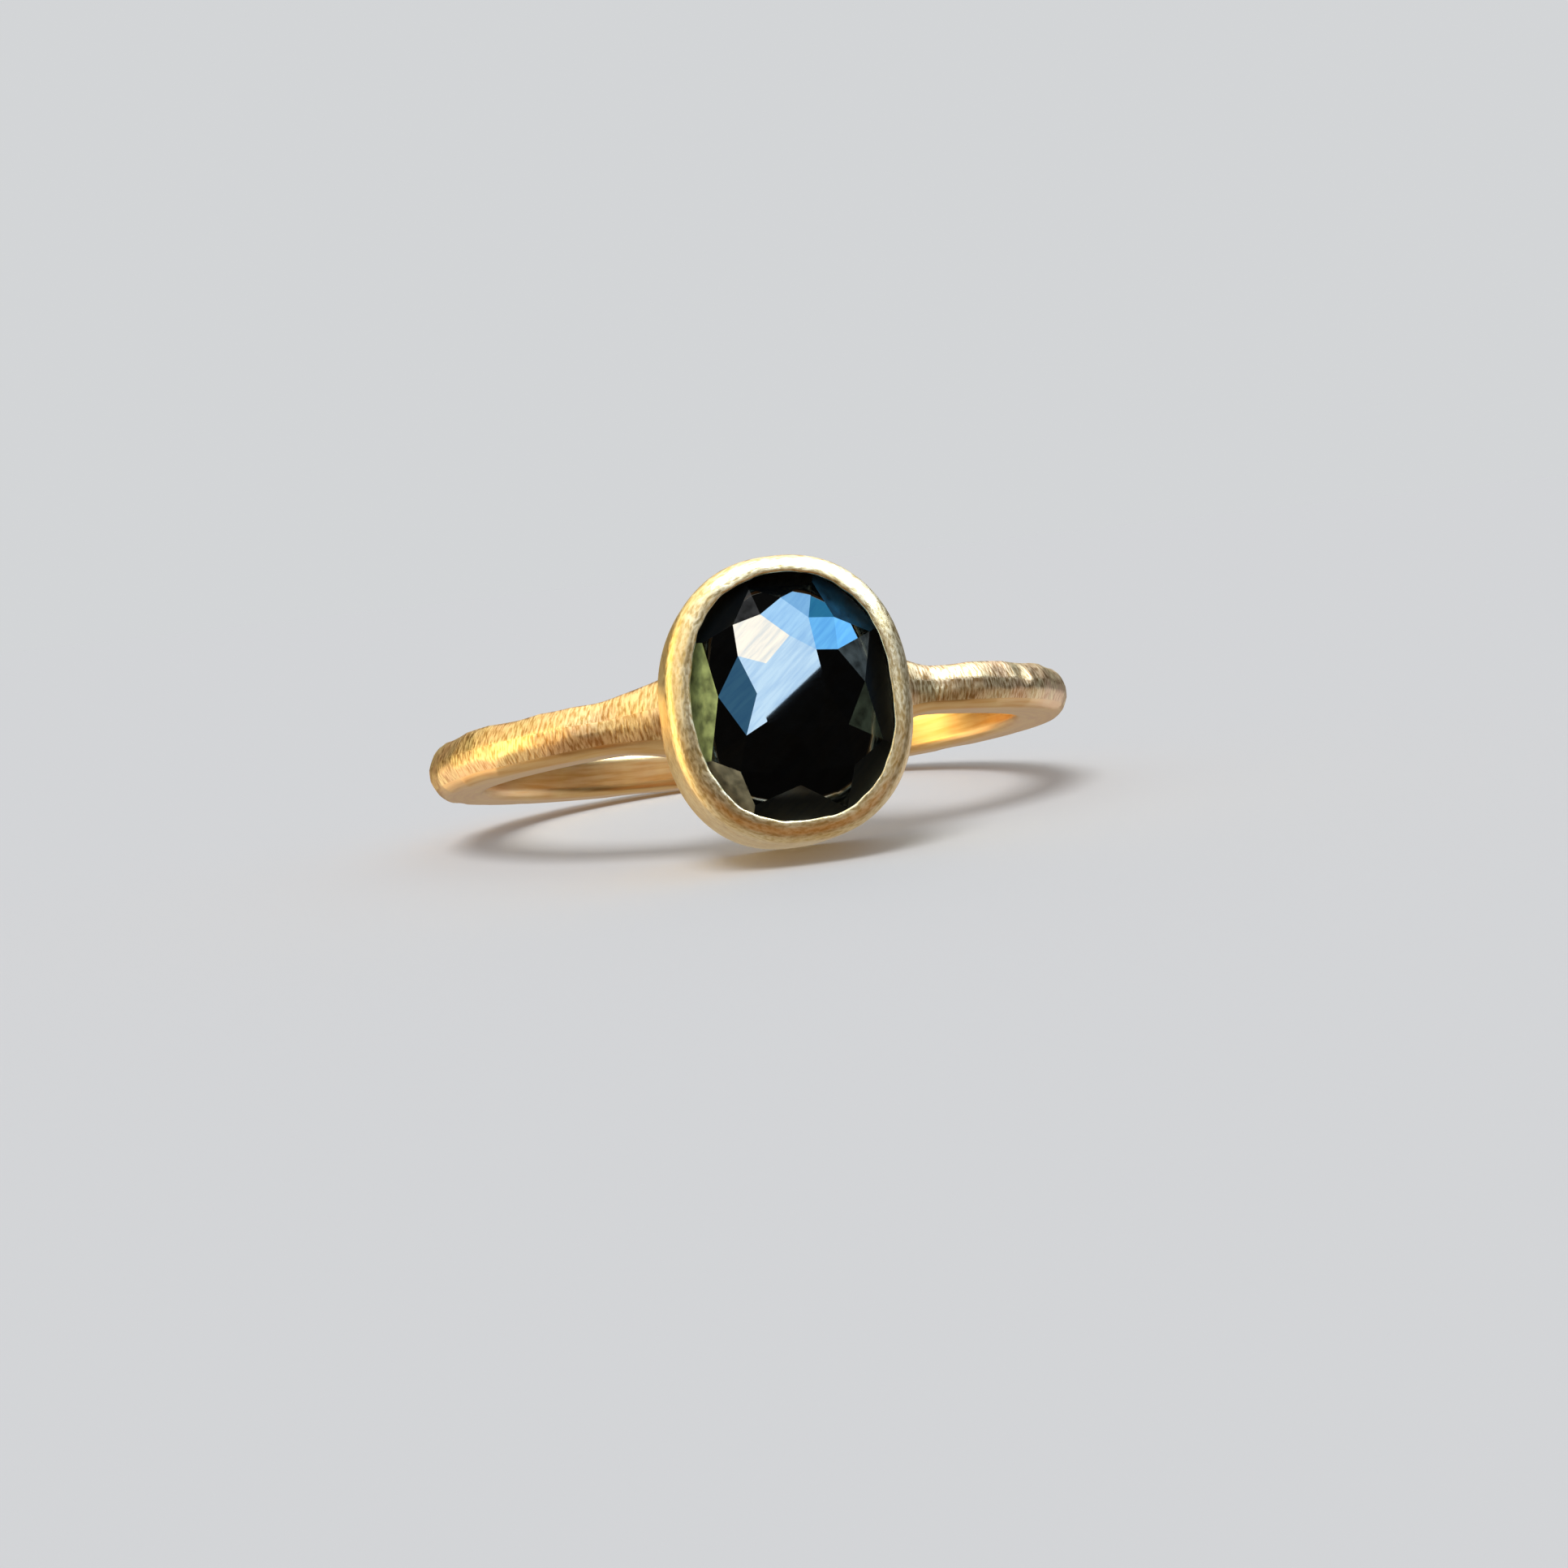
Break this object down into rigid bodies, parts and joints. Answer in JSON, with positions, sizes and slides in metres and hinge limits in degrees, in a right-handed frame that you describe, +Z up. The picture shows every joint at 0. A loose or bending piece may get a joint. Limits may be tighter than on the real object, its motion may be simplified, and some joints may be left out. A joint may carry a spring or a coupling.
{
  "type": "diamond ring",
  "caption": "Finger ring: a hammered gold hoop soldered to an oval bezel cup that holds a dark rose-cut diamond.",
  "frame": {"origin": "centre of the bounding box on the floor, with the ring lying on its side", "axes": "+Z up off the floor, -Y towards the stone's face, +Y towards the back of the hoop, X across the stone; the finger's axis leans about 10 degrees from +Z towards +Y"},
  "size_m": [0.0204, 0.0228, 0.0081],
  "materials": {
    "gold": "hammered and brushed yellow gold, satin, smooth inside",
    "diamond": "polished facets on a nearly black stone"
  },
  "bodies": {
    "root": {"shank_and_bezel": "gold", "diamond": "diamond"}
  },
  "joints": []
}
